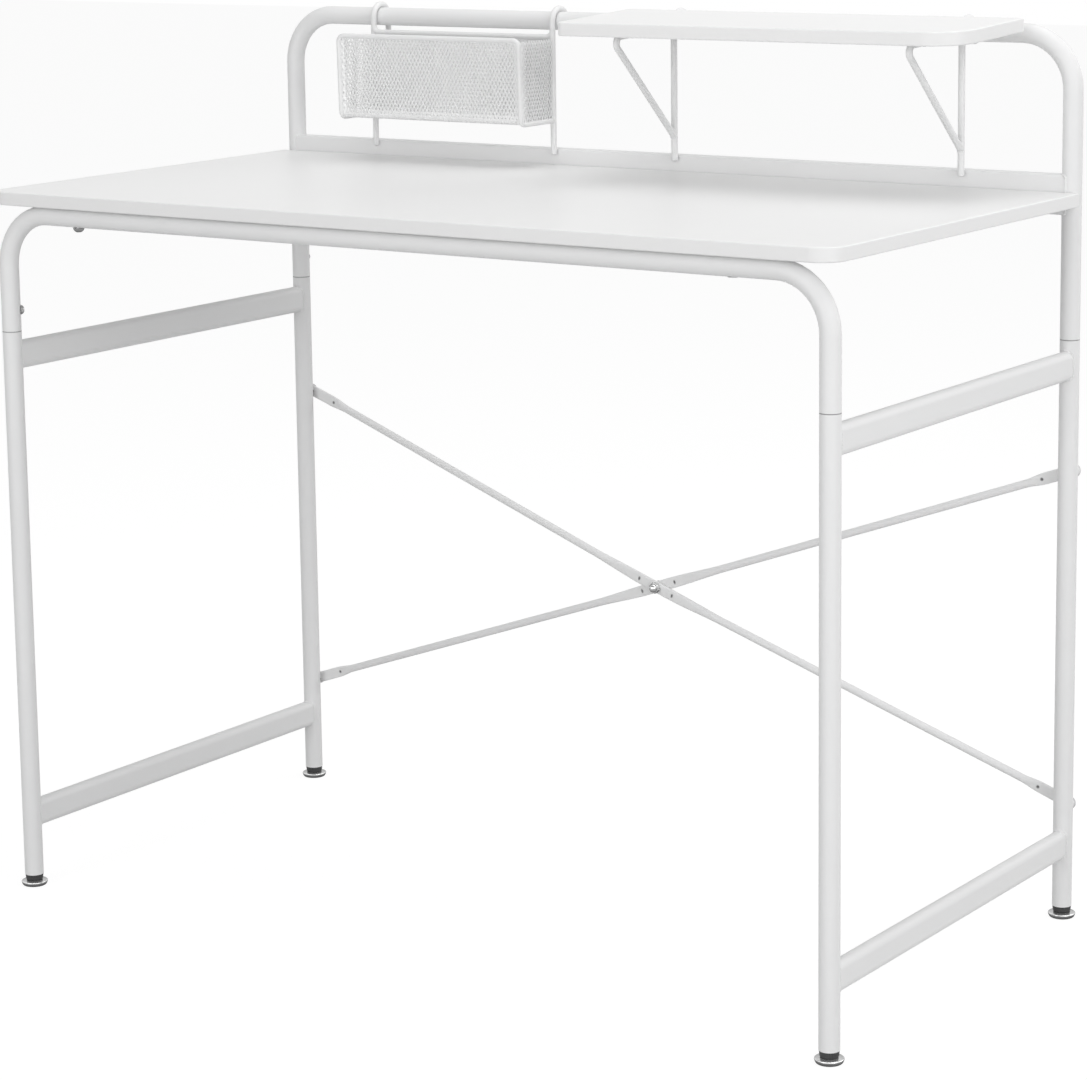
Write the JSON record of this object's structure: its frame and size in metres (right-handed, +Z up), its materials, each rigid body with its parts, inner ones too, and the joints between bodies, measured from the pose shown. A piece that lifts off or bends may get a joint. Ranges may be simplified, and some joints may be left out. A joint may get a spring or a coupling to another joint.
{
  "type": "student desk with hutch",
  "caption": "Tube-frame writing desk with a board top, X-braced back and a raised rear rail that carries a sliding mesh basket and a sliding shelf.",
  "frame": {"origin": "on the floor, midway between the four legs, below the centre of the object's box", "axes": "+X to the right as seen from the seat, +Y to the back where the hutch rail stands, +Z up"},
  "size_m": [1.006, 0.5206, 0.9228],
  "materials": {
    "white_steel": "white powder coat, fine orange peel",
    "white_mesh": "white powder coat on expanded metal",
    "white_board": "white laminate with a faint grain on board",
    "plated_steel": "bright zinc plate",
    "black_plastic": "moulded, matte",
    "chrome": "polished"
  },
  "bodies": {
    "frame": {"front_frame_tube": "white_steel", "rear_frame_tube": "white_steel", "back_bar": "white_steel", "brace_rod_front": "white_steel", "brace_rod_rear": "white_steel", "brace_end_bolts": "white_steel", "desk_support_tab_left": "white_steel", "desk_support_tab_middle": "white_steel", "desk_support_tab_right": "white_steel", "leg_front_left": "white_steel", "leg_front_right": "white_steel", "leg_rear_left": "white_steel", "leg_rear_right": "white_steel", "side_rail_upper_left": "white_steel", "side_rail_upper_right": "white_steel", "side_rail_lower_left": "white_steel", "side_rail_lower_right": "white_steel", "desktop": "white_board", "joint_screws": "plated_steel", "desk_tab_screws": "plated_steel", "desk_front_bolt_left": "plated_steel", "desk_front_bolt_right": "plated_steel", "brace_centre_bolt": "plated_steel", "brace_cap_nut": "plated_steel", "brace_end_nuts": "plated_steel", "joint_sleeve_front_left": "plated_steel", "joint_sleeve_front_right": "plated_steel", "joint_sleeve_rear_left": "plated_steel", "joint_sleeve_rear_right": "plated_steel", "leg_insert_front_left": "black_plastic", "leg_insert_front_right": "black_plastic", "leg_insert_rear_left": "black_plastic", "leg_insert_rear_right": "black_plastic"},
    "basket": {"basket_hook_wire": "white_steel", "basket_front_wire": "white_steel", "basket_post_left": "white_steel", "basket_post_right": "white_steel", "basket_mesh_front": "white_mesh", "basket_mesh_bottom": "white_mesh", "basket_mesh_back": "white_mesh", "basket_mesh_side_left": "white_mesh", "basket_mesh_side_right": "white_mesh"},
    "shelf": {"shelf_board": "white_board", "shelf_screws": "plated_steel", "bracket_post_left": "white_steel", "bracket_post_right": "white_steel", "bracket_strut_left": "white_steel", "bracket_strut_right": "white_steel"},
    "stem_front_left": {"foot_stem_front_left": "plated_steel"},
    "disc_front_left": {"foot_disc_front_left": "chrome"},
    "stem_front_right": {"foot_stem_front_right": "plated_steel"},
    "disc_front_right": {"foot_disc_front_right": "chrome"},
    "stem_rear_left": {"foot_stem_rear_left": "plated_steel"},
    "disc_rear_left": {"foot_disc_rear_left": "chrome"},
    "stem_rear_right": {"foot_stem_rear_right": "plated_steel"},
    "disc_rear_right": {"foot_disc_rear_right": "chrome"}
  },
  "joints": [
    {"name": "basket_slide", "type": "slide", "parent": "frame", "child": "basket", "axis": [1, 0, 0], "range_m": [-0.06, 0.07]},
    {"name": "shelf_slide", "type": "slide", "parent": "frame", "child": "shelf", "axis": [1, 0, 0], "range_m": [-0.03, 0.05]},
    {"name": "foot_out_front_left", "type": "slide", "parent": "frame", "child": "stem_front_left", "axis": [0, 0, -1], "range_m": [0, 0.012]},
    {"name": "foot_turn_front_left", "type": "hinge", "parent": "stem_front_left", "child": "disc_front_left", "pos_m": [-0.489, -0.243, 0.003], "axis": [0, 0, -1], "range_deg": [0, 3456]},
    {"name": "foot_out_front_right", "type": "slide", "parent": "frame", "child": "stem_front_right", "axis": [0, 0, -1], "range_m": [0, 0.012]},
    {"name": "foot_turn_front_right", "type": "hinge", "parent": "stem_front_right", "child": "disc_front_right", "pos_m": [0.489, -0.243, 0.003], "axis": [0, 0, -1], "range_deg": [0, 3456]},
    {"name": "foot_out_rear_left", "type": "slide", "parent": "frame", "child": "stem_rear_left", "axis": [0, 0, -1], "range_m": [0, 0.012]},
    {"name": "foot_turn_rear_left", "type": "hinge", "parent": "stem_rear_left", "child": "disc_rear_left", "pos_m": [-0.489, 0.243, 0.003], "axis": [0, 0, -1], "range_deg": [0, 3456]},
    {"name": "foot_out_rear_right", "type": "slide", "parent": "frame", "child": "stem_rear_right", "axis": [0, 0, -1], "range_m": [0, 0.012]},
    {"name": "foot_turn_rear_right", "type": "hinge", "parent": "stem_rear_right", "child": "disc_rear_right", "pos_m": [0.489, 0.243, 0.003], "axis": [0, 0, -1], "range_deg": [0, 3456]}
  ],
  "couplings": [
    {"joint": "foot_turn_front_left", "follows": "foot_out_front_left", "rad_per_m": 5026.5},
    {"joint": "foot_turn_front_right", "follows": "foot_out_front_right", "rad_per_m": 5026.5},
    {"joint": "foot_turn_rear_left", "follows": "foot_out_rear_left", "rad_per_m": 5026.5},
    {"joint": "foot_turn_rear_right", "follows": "foot_out_rear_right", "rad_per_m": 5026.5}
  ]
}
